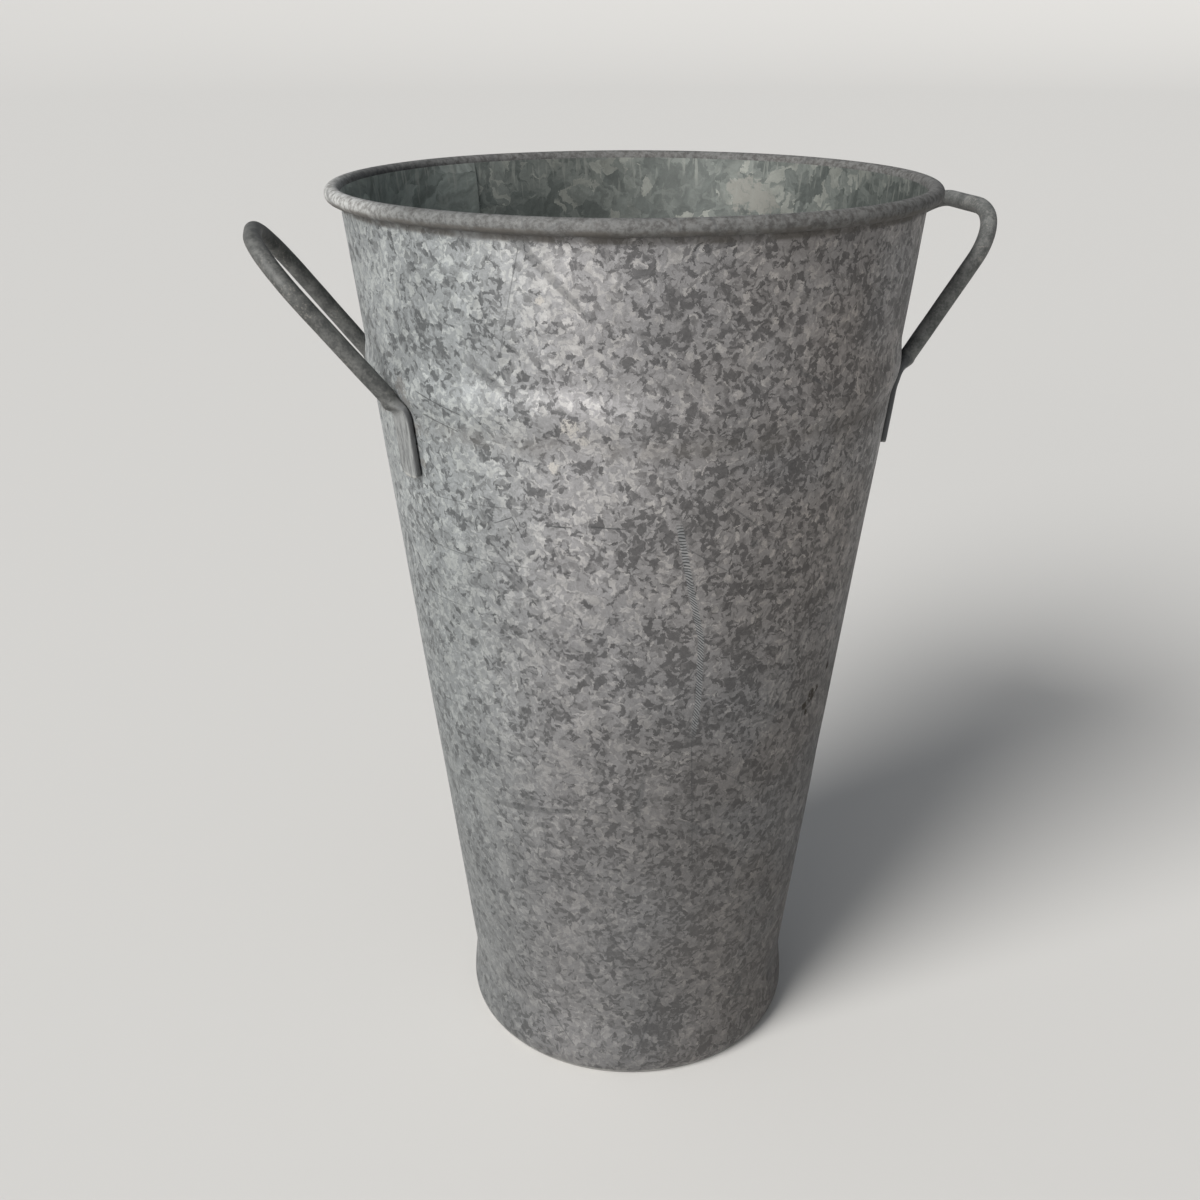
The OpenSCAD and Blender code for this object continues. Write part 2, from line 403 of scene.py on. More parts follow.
def makeBody():
    middle, curlStart = sheetMiddle()
    outerLine = sideStep(middle, sheet["thick"] / 2)
    innerLine = sideStep(middle, -sheet["thick"] / 2)
    count = len(middle)
    profile = [(r, z, "outside", i) for i, (r, z) in enumerate(outerLine)]
    profile += [(r, z, "inside", i) for i, (r, z) in reversed(list(enumerate(innerLine)))]
    length = np.r_[0, np.cumsum(np.linalg.norm(np.diff(np.array(middle), axis=0), axis=1))]
    inWall = [i for i in range(count) if middle[i][0] >= 70]  # clear of the lip and its hem
    waist = min(inWall, key=lambda i: abs(middle[i][1] - sheet["waistHeight"]))
    apex = sheet["wallLow"] / math.sin(wallLean)
    turns = [sheet["lapStart"] + sheet["step"]]
    turns += [sheet["lapEnd"] - sheet["step"], sheet["lapEnd"] + sheet["step"]]
    stride = 360 / sheet["columns"]
    turns += [sheet["lapStart"] + stride * k for k in range(1, sheet["columns"])
              if abs(stride * k + sheet["lapStart"] - sheet["lapEnd"]) > stride / 3]
    turns.append(sheet["lapStart"] + 360 - sheet["step"])
    turns.sort()
    rows = []
    for turn in turns:
        t = math.radians(turn)
        rimLift = sheet["rimWave"] * noise.noise(Vector((math.cos(t) * 1.6, math.sin(t) * 1.6, 5.0)))
        row = []
        for r, z, side, i in profile:
            push = sheetPush(turn, z) + lapPush(turn, z, side)
            lift = rimLift * smoothStep((z - sheet["rimWaveFrom"]) / sheet["rimWaveOver"])
            row.append(((r + push) * math.cos(t) * mm, (r + push) * math.sin(t) * mm, (z + lift) * mm))
        rows.append(row)
    piece = gridMesh("body_sheet", rows, closeRows=True)
    # faces of the inner wall take the inside finish; the sheet's own flat pattern goes into a map
    mesh = piece.data
    around = len(profile)
    patternMap = mesh.uv_layers.new(name="sheetPattern")
    places = np.zeros((len(mesh.loops), 2))
    finish = np.zeros(len(mesh.polygons), int)
    for face in mesh.polygons:
        column, k = divmod(face.index, around)
        r, z, side, i = profile[k]
        nextSide, j = profile[(k + 1) % around][2:]
        isInside = side == "inside" and nextSide == "inside" and max(i, j) <= curlStart
        finish[face.index] = 1 if isInside else 0
        first, second = turns[column], turns[(column + 1) % len(turns)]
        if second < first:
            second += 360
        cut = sheet["lapStart"] if isInside else sheet["lapEnd"]
        extra = 360 if (first + second) / 2 < cut + sheet["step"] * 1.5 else 0
        for loop in face.loop_indices:
            vertex = mesh.loops[loop].vertex_index
            owner, m = divmod(vertex, around)
            turn = (first if owner == column else second) + extra - cut
            out = apex + length[profile[m][3]] - length[waist]
            a = math.radians(turn) * math.sin(wallLean)
            places[loop] = (out * math.cos(a) * mm, out * math.sin(a) * mm)
    patternMap.uv.foreach_set("vector", places.astype(np.float32).ravel())
    mesh.polygons.foreach_set("material_index", finish)
    bead = mesh.attributes.new("bead", "FLOAT", "POINT")
    bead.data.foreach_set("value", [1.0 if p[3] >= curlStart else 0.0 for _ in turns for p in profile])
    # the sheet's cut ends and the two lap edges stay crisp
    work = bmesh.new()
    work.from_mesh(mesh)
    work.verts.ensure_lookup_table()
    ends = {0, count - 1, count, 2 * count - 1}
    insideEdge = {0, len(turns) - 1}
    nearLapEnd = [abs(turn - sheet["lapEnd"]) for turn in turns]
    outsideEdge = {k for k, away in enumerate(nearLapEnd) if abs(away - sheet["step"]) < 1e-6}
    for edge in work.edges:
        (c1, k1), (c2, k2) = (divmod(v.index, around) for v in edge.verts)
        if k1 == k2 and k1 in ends:
            edge.smooth = False
        if c1 == c2 and profile[k1][2] == profile[k2][2]:
            if c1 in (insideEdge if profile[k1][2] == "inside" else outsideEdge):
                edge.smooth = False
    bmesh.ops.recalc_face_normals(work, faces=work.faces)
    work.to_mesh(mesh)
    work.free()
    return piece


# the pressed bottom: sizes in millimetres
bottomLook = {
    "columns": 180,
    "top": 9.3,
    "hole": 0.6,
    "flat": 70.0,
    "bend": [(71.4, 9.29), (72.3, 9.2), (72.85, 8.9), (73.1, 8.4)],
    "flangeRadius": 11.4,
    "flangeStart": -6.0,
    "flangeEnd": -45.6,
    "wave": 0.22,
    "waveSize": 30,
    "waveEnd": 55,
    "waveFade": 12,
}


def makeBottom():
    half = sheet["thick"] / 2
    centre = sheet["bellyRadius"] - sheet["edgeRadius"]
    line = [(r, bottomLook["top"]) for r in np.linspace(bottomLook["hole"], bottomLook["flat"], 34)]
    line += bottomLook["bend"]
    for turn in np.linspace(bottomLook["flangeStart"], bottomLook["flangeEnd"], 10):
        t = math.radians(turn)
        line.append((centre + bottomLook["flangeRadius"] * math.cos(t),
                     sheet["bellyHeight"] + bottomLook["flangeRadius"] * math.sin(t)))
    ring = [*sideStep(line, -half), *sideStep(line, half)[::-1]]
    size = bottomLook["waveSize"]
    rows = []
    for k in range(bottomLook["columns"]):
        t = 2 * math.pi * k / bottomLook["columns"]
        row = []
        for r, z in ring:
            wave = noise.noise(Vector((math.cos(t) * r / size, math.sin(t) * r / size, 3.0)))
            fade = smoothStep((r - bottomLook["waveEnd"]) / bottomLook["waveFade"])
            wave *= bottomLook["wave"] * (1 - fade)
            row.append((r * math.cos(t) * mm, r * math.sin(t) * mm, (z + wave) * mm))
        rows.append(row)
    piece = gridMesh("bottom_disc", rows, closeRows=True)
    # the two faces of the disc close over the middle
    work = bmesh.new()
    work.from_mesh(piece.data)
    work.verts.ensure_lookup_table()
    around = len(ring)
    joint = [f for f in work.faces if {divmod(v.index, around)[1] for v in f.verts} == {0, around - 1}]
    bmesh.ops.delete(work, geom=joint, context="FACES_ONLY")
    bmesh.ops.delete(work, geom=[e for e in work.edges if not e.link_faces], context="EDGES")
    work.verts.ensure_lookup_table()
    for k in (0, around - 1):
        work.faces.new([work.verts[c * around + k] for c in range(bottomLook["columns"])])
    bmesh.ops.recalc_face_normals(work, faces=work.faces)
    for face in work.faces:
        face.smooth = True
    work.to_mesh(piece.data)
    work.free()
    return piece


# the two rod handles: sizes in millimetres
handleLook = {
    "rod": 3.33,
    "tabHalfWidth": 6.0,
    "tabHalfThick": 1.3,
    "tabLow": 277.2,
    "tabRound": 2.4,
    "weldGap": 0.15,
    "bendRadius": 9.0,
    "flareStart": -0.5,
    "sides": 36,
    "stepLength": 0.8,
    "lumps": 0.02,
    "lumpSize": 9,
    "square": 3.2,  # how much squarer the flattened end is than the rod
    "leanRoot": 1.65,
}
# sizes read off each handle: they were bent by hand, and lean and twist a little
handleFits = {
    "right": {"aim": 1.1, "halfBase": 41.8, "halfEnd": 33.2, "start": 305.2, "slope": 51.5,
              "length": 77.1, "corner": 26.1, "lean": 0.33, "twist": -0.65, "flare": 8.0},
    "left": {"aim": 178.9, "halfBase": 39.8, "halfEnd": 31.7, "start": 302.4, "slope": 51.8,
             "length": 77.4, "corner": 29.0, "lean": -1.35, "twist": 1.28, "flare": 5.0},
}


def spacedOut(points, stepLength):
    points = np.array(points, float)
    far = np.r_[0, np.cumsum(np.linalg.norm(np.diff(points, axis=0), axis=1))]
    at = np.linspace(0, far[-1], max(2, round(far[-1] / stepLength) + 1))
    return np.stack([np.interp(at, far, points[:, k]) for k in range(3)], 1), at


def softCorner(before, corner, after, radius, count=14):
    # an arc of that radius in place of the corner
    u = (before - corner).normalized()
    v = (after - corner).normalized()
    half = u.angle(v) / 2
    reach = radius / math.tan(half)
    centre = corner + (u + v).normalized() * (radius / math.sin(half))
    start, end = corner + u * reach, corner + v * reach
    a, b = start - centre, end - centre
    whole = a.angle(b)
    arc = []
    for k in range(count + 1):
        t = whole * k / count
        arc.append(centre + (a * math.sin(whole - t) + b * math.sin(t)) / math.sin(whole))
    return arc


def halfHandleLine(fit):
    # from one flattened end up the wall, out along the rod and to the middle of the cross bar
    legRadius = wallRadius(fit["start"]) + handleLook["weldGap"] + handleLook["tabHalfThick"]
    legTurn = math.asin(fit["halfBase"] / legRadius)
    leg = Vector((math.cos(legTurn), math.sin(legTurn), 0))
    root = leg * legRadius + Vector((0, 0, fit["start"]))
    down = Vector((leg.x * math.sin(wallLean), leg.y * math.sin(wallLean), math.cos(wallLean))) * -1
    low = root + down * ((fit["start"] - handleLook["tabLow"]) / math.cos(wallLean))
    slope = math.radians(fit["slope"])
    rise = Vector((math.cos(slope), 0, math.sin(slope)))
    endMiddle = Vector((root.x, 0, root.z)) + rise * fit["length"]
    end = endMiddle + Vector((0, fit["halfEnd"], 0))
    line = [low] + softCorner(low, root, end, handleLook["bendRadius"])
    line += softCorner(root, end, endMiddle, fit["corner"], 26)
    line.append(endMiddle)
    return line, leg


def makeHandle(name, fit):
    line, leg = halfHandleLine(fit)
    points, far = spacedOut(line, handleLook["stepLength"])
    along = np.gradient(points, axis=0)
    along /= np.linalg.norm(along, axis=1)[:, None]
    along[-1] = (0, -1, 0)
    out = np.array((leg.x * math.cos(wallLean), leg.y * math.cos(wallLean), -math.sin(wallLean)))
    outs = []
    for direction in along:
        out = out - direction * (out @ direction)
        out = out / np.linalg.norm(out)
        outs.append(out)
    tabLength = fit["start"] - handleLook["tabLow"]
    rings, tabShare, shadedSideShare, wornGlintShare = [], [], [], []
    sides = handleLook["sides"]
    for point, direction, out, s in zip(points, along, outs, far):
        across = np.cross(direction, out)
        flat = 1 - smoothStep((s - tabLength + handleLook["flareStart"]) / fit["flare"])
        wide = handleLook["rod"] + (handleLook["tabHalfWidth"] - handleLook["rod"]) * flat
        thin = handleLook["rod"] + (handleLook["tabHalfThick"] - handleLook["rod"]) * flat
        power = 2 + handleLook["square"] * flat
        corner = handleLook["tabRound"]
        if s < corner:
            wide -= corner - math.sqrt(corner ** 2 - (corner - s) ** 2)
        radius = wallRadius(point[2]) + bandSwell(point[2]) + handleLook["weldGap"]
        here = np.array(point)
        # the flattened end keeps its back on the wall as it thickens and passes over the band
        need = radius + thin / math.cos(wallLean) - math.hypot(here[0], here[1])
        if need > 0:
            here = here + np.array((leg.x, leg.y, 0)) * need
        ring = []
        for k in range(sides):
            t = 2 * math.pi * k / sides
            c, d = math.cos(t), math.sin(t)
            x = math.copysign(abs(c) ** (2 / power), c) * thin
            y = math.copysign(abs(d) ** (2 / power), d) * wide
            arm = out * x + across * y
            lump = noise.noise(Vector(here + arm) / handleLook["lumpSize"])
            ring.append(here + arm + arm * handleLook["lumps"] * lump)
            tabShare.append(flat)
            # painted shade on the flattened end's sides
            shadedSideShare.append(flat * smoothStep((abs(d) - 0.75) / 0.2))
            # worn tip with a painted glint
            wornGlintShare.append((1 - smoothStep((s - 0.3) / 1.1)) * smoothStep((c + 0.2) / 0.4))
        rings.append(ring)
    half = np.array(rings)
    # the middle ring lies on the mirror plane
    half[-1, :, 1] = 0
    other = half[::-1][1:] * np.array((1, -1, 1))
    rows = np.concatenate([half, other])
    # the loop leans sideways and twists a little, more and more from the wall outwards
    slope = math.radians(fit["slope"])
    rootX = math.sqrt((wallRadius(fit["start"]) + handleLook["leanRoot"]) ** 2 - fit["halfBase"] ** 2)
    up = (rows[..., 0] - rootX) * math.cos(slope) + (rows[..., 2] - fit["start"]) * math.sin(slope)
    share = np.clip(up / fit["length"], 0, 1)
    turned = fit["twist"] * share * rows[..., 1] / fit["halfEnd"]
    rows[..., 0] += turned * math.sin(slope)
    rows[..., 1] += fit["lean"] * share
    rows[..., 2] -= turned * math.cos(slope)
    piece = gridMesh(name, rows * mm, capEnds=True)
    for key, shares in (("tab", tabShare), ("edge", shadedSideShare), ("wornGlint", wornGlintShare)):
        values = np.array(shares).reshape(len(rings), sides)
        values = np.concatenate([values, values[::-1][1:]])
        piece.data.attributes.new(key, "FLOAT", "POINT").data.foreach_set("value", values.ravel())
    piece.data.transform(Matrix.Rotation(math.radians(fit["aim"]), 4, "Z"))
    outwards(piece)
    for face in piece.data.polygons:
        if len(face.vertices) > 4:
            face.use_smooth = False
    return piece


# finishes: lengths in metres, colours as plain shares of light
outsideLook = {
    "patch": 0.0036,  # size of a crystal
    "jag": 1.4,  # how ragged its outline is
    "fineJag": 0.55,
    "leaf": 0.00115,  # size of the marks in a crystal
    "slim": 0.42,  # their length, less is longer
    "leafShare": 0.58,
    "cluster": 0.028,  # size of the groups of like crystals
    "gather": 0.85,
    "stretch": 0.13,
    "grain": 0.0009,  # fine lines along a crystal
    "streak": 0.22,
    "tilt": 0.10,  # how far each crystal leans
    "tones": [(0.107, 0.109, 0.112), (0.172, 0.175, 0.178), (0.246, 0.251, 0.256), (0.336, 0.340, 0.338)],
    "steps": [0.34, 0.46, 0.76],
    "plain": (0.196, 0.202, 0.203),
    # painted warm bounce light towards +X
    "warmBounceTint": (0.94, 0.88, 0.83),
    # painted light tints: cool towards -X, rosy from the highlight on
    "coolLightTint": (0.965, 1.0, 0.995),
    "rosyHighlightTint": (1.015, 0.985, 0.98),
    # painted shade low on the wall and painted light high on it
    "paintedShadeLow": 0.76,
    "paintedLightHigh": 1.16,
    # colour of the painted glints
    "glintColour": (0.52, 0.50, 0.47),
    "bead": (0.128, 0.129, 0.125),
    "beadDark": (0.052, 0.050, 0.047),
    "beadSpeckle": 0.0022,
    "chatterGap": (0.30, 0.31, 0.315),
    "scratch": (0.060, 0.062, 0.064),
    # colour of dirt with painted shade, and where it lies under the rim and under the band
    "grimeAndShade": (0.072, 0.065, 0.057),
    "crease": (0.3704, 0.3717, 0.3752, 0.3765),  # heights of the dirt under the rim
    "underBand": (0.2935, 0.2985, 0.3005, 0.3055),
    "rust": (0.022, 0.016, 0.010),
    # rubbed edge with a painted highlight
    "rubbedAndLit": (0.36, 0.355, 0.34),
    "rubbedAndLitAt": (0.0006, 0.0014, 0.0020, 0.0034),
    "rough": (0.46, 0.58),
    "beadRough": 0.82,
    "glintRough": 0.30,
    "dirtRough": 0.85,
    "metal": 0.64,
    "beadMetal": 0.06,
    "dirtMetal": 0.05,
    "bump": (0.4, 0.00014),  # strength and depth
    "beadPits": 2.2,
}
# painted glints, bright crystals on the front where the highlight falls: turn from +X in degrees, height
# and size in millimetres
paintedGlints = [(-117.6, 308.0, 3.4), (-114.8, 303.5, 2.2), (-122.0, 352.0, 1.6), (-121.0, 292.0, 2.4)]
# dirt and painted contact shade round the rods' feet: turn, height, size
footDirtAndShade = [(-158.0, 313.0, 3.8), (-156.8, 307.5, 3.0), (-155.6, 297.0, 2.2), (-154.9, 284.0, 2.0),
          (-24.8, 312.0, 3.0), (-18.6, 306.0, 3.0), (26.6, 312.0, 3.0), (21.0, 304.0, 2.6),
          (154.4, 312.0, 3.0), (160.2, 304.0, 2.6)]
# rust that has come through: turn, height, size
rustSpots = [(-50.4, 180.4, 3.4), (-53.4, 177.2, 2.2), (-47.9, 182.0, 1.8), (-52.0, 173.6, 1.6),
             (-42.5, 189.0, 1.9)]
# single scratches: turn and height of both ends, and half width
scratches = [((-152.3, 313.0), (-140.5, 308.0), 0.24), ((-151.5, 304.5), (-142.3, 301.0), 0.24),
             ((-123.5, 269.5), (-118.0, 269.7), 0.30), ((-113.8, 270.6), (-107.0, 270.0), 0.30),
             ((-135.3, 267.5), (-131.0, 271.0), 0.22), ((-131.0, 271.0), (-128.5, 262.0), 0.18)]
# long fine scratches all over: turn across the sheet, size of their noise, half width, seed
fineScratches = [(35.0, 0.030, 0.006, 0.31), (-28.0, 0.038, 0.005, 0.83), (82.0, 0.045, 0.004, 0.57)]
# the chatter mark down the front: height in millimetres, turn in degrees
chatter = [(113.0, -87.4), (176.0, -90.3), (196.0, -89.4), (223.0, -89.8), (245.0, -92.9), (273.0, -96.3)]
chatterLook = {
    "turnLow": -98.0,
    "turnHigh": -86.0,
    "pitch": 0.00125,
    "half": 0.0015,
    "low": 0.176,
    "slant": 1.1,
    "wobble": 0.0016,
}


def chatterShare(desk, place):
    # a run of short strokes, then a fine line below them
    look = chatterLook
    x, y, z = desk.split(place)
    low, high = chatter[0][0], chatter[-1][0]
    width = look["turnHigh"] - look["turnLow"]
    stops = [((h - low) / (high - low), ((turn - look["turnLow"]) / width,) * 3) for h, turn in chatter]
    path = desk.ramp(desk.span(z, low * mm, high * mm, kind="LINEAR"), stops)
    lowTurn, highTurn = math.radians(look["turnLow"]), math.radians(look["turnHigh"])
    wanted = desk.span(path, 0.0, 1.0, lowTurn, highTurn, "LINEAR")
    reach = desk.length(desk.add("CombineXYZ", {0: x, 1: y}).outputs[0])
    across = desk.times(desk.minus(desk.math("ARCTAN2", y, x), wanted), reach)
    slant = desk.times(across, desk.span(z, 0.262, 0.236, 0.0, look["slant"]))
    wobble = desk.times(desk.noise(place, 0.004, 1.0), look["wobble"])
    beat = desk.math("DIVIDE", desk.plus(desk.plus(z, slant), wobble), look["pitch"])
    beat = desk.math("FRACT", beat)
    stroke = desk.strip(beat, 0.25, 0.4, 0.6, 0.75)
    side = desk.math("ABSOLUTE", across)
    lane = desk.span(side, look["half"], look["half"] * 0.6)
    start = desk.span(z, look["low"], look["low"] + 0.012)
    strokes = desk.times(stroke, lane, start)
    line = desk.times(desk.span(side, 0.0004, 0.0001), desk.span(z, 0.20, 0.17, 0.0, 0.5))
    ends = desk.strip(z, low * mm, low * mm + 0.01, high * mm - 0.004, high * mm)
    dark = desk.times(desk.most(strokes, line), ends)
    return dark, desk.times(desk.times(lane, ends, start), desk.minus(1.0, stroke))


def scratchShare(desk, where, turn, size, thin, seed):
    # long fine scratches that run across the sheet at about that turn
    moved = desk.vector("ADD", where, (seed, seed * 0.7, 0.0))
    long = desk.vector("MULTIPLY", desk.turned(moved, math.radians(turn)), (0.12, 1.0, 1.0))
    wave = desk.math("ABSOLUTE", desk.minus(desk.noise(long, size, 1.0, 0.4), 0.5))
    here = desk.span(desk.noise(moved, size * 1.6, 1.0), 0.54, 0.62)
    return desk.times(desk.span(wave, thin, thin * 0.35), here)


def zincTones(desk, look, place, zinc):
    # plainer lower down; painted shade makes it darker lower down and towards +X, painted warm bounce
    # light warms +X, and painted light tints -X cool and the rest rosy
    x, y, z = desk.split(place)
    colour = desk.mix(desk.span(z, 0.05, 0.26, 0.28, 0.0), zinc["colour"], look["plain"])
    blotch = desk.span(desk.noise(place, 0.05, 3.0, 0.6), 0.3, 0.7, 0.90, 1.10)
    # painted shade lower down and towards +X, painted light higher up
    tone = desk.times(desk.span(z, 0.10, 0.33, look["paintedShadeLow"], look["paintedLightHigh"]), blotch)
    tone = desk.times(tone, desk.span(x, -0.06, 0.005, 1.0, 0.88), desk.span(x, -0.01, 0.10, 1.0, 0.76))
    colour = desk.dimmed(colour, tone)
    # painted warm bounce light in patches towards +X
    warmBounce = desk.span(desk.noise(place, 0.075, 3.0, 0.55), 0.36, 0.6, 0.2, 1.0)
    warmBounce = desk.times(warmBounce, desk.span(x, -0.07, 0.08))
    colour = desk.mix(warmBounce, colour, look["warmBounceTint"], "MULTIPLY")
    # painted light: cool towards -X, rosy from the highlight towards +X
    tint = desk.mix(desk.span(x, -0.09, -0.045), look["coolLightTint"], look["rosyHighlightTint"])
    return desk.mix(1.0, colour, tint, "MULTIPLY")


def beadTones(desk, look, place, speckle):
    # the rolled rim is dull and speckled; painted light makes it paler towards -X, where the lamps strike
    # its side
    colour = desk.mix(desk.span(speckle, 0.36, 0.62), look["beadDark"], look["bead"])
    return desk.dimmed(colour, desk.span(desk.split(place)[0], -0.119, -0.098, 2.9, 0.85))


def dirtAndShadeShare(desk, look, place, rag, patchy):
    # dirt and painted shade in the crease under the rim, under the band and round the rods' feet
    z = desk.split(place)[2]
    crease = desk.times(desk.strip(z, *look["crease"]), desk.span(patchy, 0.3, 0.6, 0.15, 0.8))
    under = desk.times(desk.strip(z, *look["underBand"]), desk.span(patchy, 0.36, 0.6, 0.06, 0.42))
    feet = desk.times(spots(desk, place, rag, footDirtAndShade, 3.6), 0.62)
    return desk.most(desk.most(crease, under), feet)


def makeOutside():
    desk = Desk("zincOutside")
    look = outsideLook
    sheetPlace = desk.add("UVMap", uv_map="sheetPattern").outputs[0]
    place = desk.add("TexCoord").outputs["Object"]
    x, y, z = desk.split(place)
    # more dark crystals towards +X and fewer towards -X, partly the zinc's own and partly painted shade
    # on the +X side
    zinc = spangles(desk, sheetPlace, look, desk.span(x, -0.065, 0.005, 0.10, -0.045))
    colour = zincTones(desk, look, place, zinc)
    # painted glints: single bright crystals where the highlight falls
    rag = desk.minus(desk.noise(place, 0.0016, 3.0, 0.6), 0.5)
    glintShare = desk.times(spots(desk, place, rag, paintedGlints), desk.span(zinc["grain"], 0.38, 0.55))
    colour = desk.mix(glintShare, colour, look["glintColour"])
    bead = desk.add("Attribute", attribute_name="bead").outputs["Fac"]
    speckle = desk.noise(place, look["beadSpeckle"], 4.0, 0.75)
    colour = desk.mix(desk.times(bead, 0.9), colour, beadTones(desk, look, place, speckle))
    # marks and scratches
    strokes, gaps = chatterShare(desk, place)
    colour = desk.mix(desk.times(gaps, 0.55), colour, look["chatterGap"])
    marks = strokes
    for settings in fineScratches:
        marks = desk.most(marks, desk.times(scratchShare(desk, sheetPlace, *settings), 0.45))
    flatTurn = desk.times(desk.math("ARCTAN2", y, x), flatRadius)
    flat = desk.add("CombineXYZ", {0: flatTurn, 1: z}).outputs[0]
    for start, end, width in scratches:
        marks = desk.most(marks, desk.times(lineMark(desk, flat, rag, start, end, width), 0.75))
    colour = desk.mix(marks, colour, look["scratch"])
    patchy = desk.noise(place, 0.012, 3.0, 0.6)
    # dirt with painted shade in the creases and round the rods' feet
    dirtAndShade = dirtAndShadeShare(desk, look, place, rag, patchy)
    colour = desk.mix(dirtAndShade, colour, look["grimeAndShade"])
    rustGrain = desk.span(desk.noise(place, 0.0021, 2.0, 0.6), 0.40, 0.48, 0.1, 1.0)
    rust = desk.times(spots(desk, place, rag, rustSpots, 1.6), rustGrain)
    colour = desk.mix(rust, colour, look["rust"])
    # the foot's lower edge is rubbed bright, with a painted highlight along it
    rubAndHighlight = desk.times(desk.strip(z, *look["rubbedAndLitAt"]), desk.span(patchy, 0.35, 0.6, 0.25, 0.8))
    colour = desk.mix(rubAndHighlight, colour, look["rubbedAndLit"])
    desk.put(desk.shader.inputs["Base Color"], colour)
    dirtShadeAndRust = desk.most(dirtAndShade, rust)
    rough = desk.between(zinc["gloss"], *look["rough"])
    rough = desk.between(bead, rough, look["beadRough"])
    rough = desk.between(glintShare, rough, look["glintRough"])
    desk.put(desk.shader.inputs["Roughness"], desk.between(dirtShadeAndRust, rough, look["dirtRough"]))
    metal = desk.between(bead, look["metal"], look["beadMetal"])
    desk.put(desk.shader.inputs["Metallic"], desk.between(dirtShadeAndRust, metal, look["dirtMetal"]))
    pits = desk.times(speckle, desk.between(bead, 0.0, look["beadPits"]))
    height = desk.plus(desk.noise(place, 0.0012, 4.0, 0.65), pits)
    normal = tilted(desk, zinc["tilt"], desk.between(bead, look["tilt"], 0.0))
    desk.bumps(*look["bump"], desk.minus(height, strokes), normal)
    return desk.material


insideLook = {
    "patch": 0.0085,
    "jag": 1.3,
    "fineJag": 0.3,
    "leaf": 0.0026,
    "slim": 0.4,
    "leafShare": 0.45,
    "cluster": 0.03,
    "gather": 0.7,
    "stretch": 0.1,
    "grain": 0.0018,
    "streak": 0.18,
    "tilt": 0.10,
    "tones": [(0.080, 0.090, 0.084), (0.106, 0.117, 0.109), (0.135, 0.147, 0.136), (0.205, 0.214, 0.194)],
    "steps": [0.40, 0.58, 0.80],
    "bright": (0.190, 0.190, 0.171),
    "pale": (0.21, 0.22, 0.20),
    "rough": (0.46, 0.62),
    "metal": 0.4,
    "bump": (0.35, 0.00011),
}
# the bright jagged patch near the rim: turn, height, size
insidePatch = [(46.0, 362.0, 8.5), (41.0, 358.0, 6.5)]
# the great dark crystals beside the lap
fernLook = {
    "patch": 0.026,
    "jag": 0.8,
    "fineJag": 0.12,
    "leaf": 0.0085,
    "slim": 0.3,
    "leafShare": 0.45,
    "cluster": 0.06,
    "gather": 0.4,
    "stretch": 0.07,
    "grain": 0.0032,
    "streak": 0.30,
    "tilt": 0.10,
    "tones": [(0.112, 0.126, 0.117), (0.140, 0.156, 0.145), (0.172, 0.188, 0.175), (0.225, 0.240, 0.222)],
    "steps": [0.38, 0.60, 0.84],
}


def makeInside():
    desk = Desk("zincInside")
    look = insideLook
    sheetPlace = desk.add("UVMap", uv_map="sheetPattern").outputs[0]
    place = desk.add("TexCoord").outputs["Object"]
    x, y, z = desk.split(place)
    shifted = desk.vector("ADD", sheetPlace, (0.93, 0.27, 0.0))
    zinc = spangles(desk, shifted, look, 0.0)
    fern = spangles(desk, shifted, fernLook, 0.0)
    beside = desk.times(desk.span(x, -0.040, -0.047), desk.span(y, -0.02, 0.03))
    colour = desk.mix(beside, zinc["colour"], fern["colour"])
    # a bright jagged patch near the rim, and pale streaks that run down from it
    rag = desk.minus(desk.noise(place, 0.004, 3.0, 0.6), 0.5)
    patch = spots(desk, place, rag, insidePatch)
    patch = desk.times(patch, desk.span(zinc["grain"], 0.25, 0.5, 0.45, 1.0))
    colour = desk.mix(patch, colour, look["bright"])
    turn = desk.math("ARCTAN2", y, x)
    streakPlace = desk.add("CombineXYZ", {0: turn, 1: desk.times(z, 1.2)}).outputs[0]
    streak = desk.span(desk.noise(streakPlace, 0.022, 3.0, 0.6), 0.54, 0.66)
    streak = desk.times(streak, desk.span(z, 0.352, 0.372, 0.0, 0.6))
    colour = desk.mix(streak, colour, look["pale"])
    # painted light: the inner wall is paler towards -X, where it lies in the lamps' shade, and darker
    # towards +X
    colour = desk.dimmed(colour, desk.span(x, -0.105, 0.02, 2.1, 0.77))
    desk.put(desk.shader.inputs["Base Color"], colour)
    desk.put(desk.shader.inputs["Roughness"], desk.between(zinc["gloss"], *look["rough"]))
    desk.shader.inputs["Metallic"].default_value = look["metal"]
    normal = tilted(desk, zinc["tilt"], look["tilt"])
    desk.bumps(*look["bump"], desk.noise(place, 0.0014, 4.0, 0.65), normal)
    return desk.material


rodLook = {
    "size": 0.0045,
    "dark": (0.050, 0.052, 0.050),
    "light": (0.130, 0.131, 0.125),
    "dust": (0.21, 0.195, 0.175),
    "tabDark": (0.135, 0.140, 0.140),
    "tabLight": (0.255, 0.262, 0.258),
    # painted shade on the flattened ends' sides
    "edge": (0.060, 0.062, 0.064),
    # worn tips with a painted glint
    "wornGlint": (0.42, 0.42, 0.40),
    "rough": (0.55, 0.72),
    "metal": 0.22,
    "bump": (0.5, 0.00014),
}


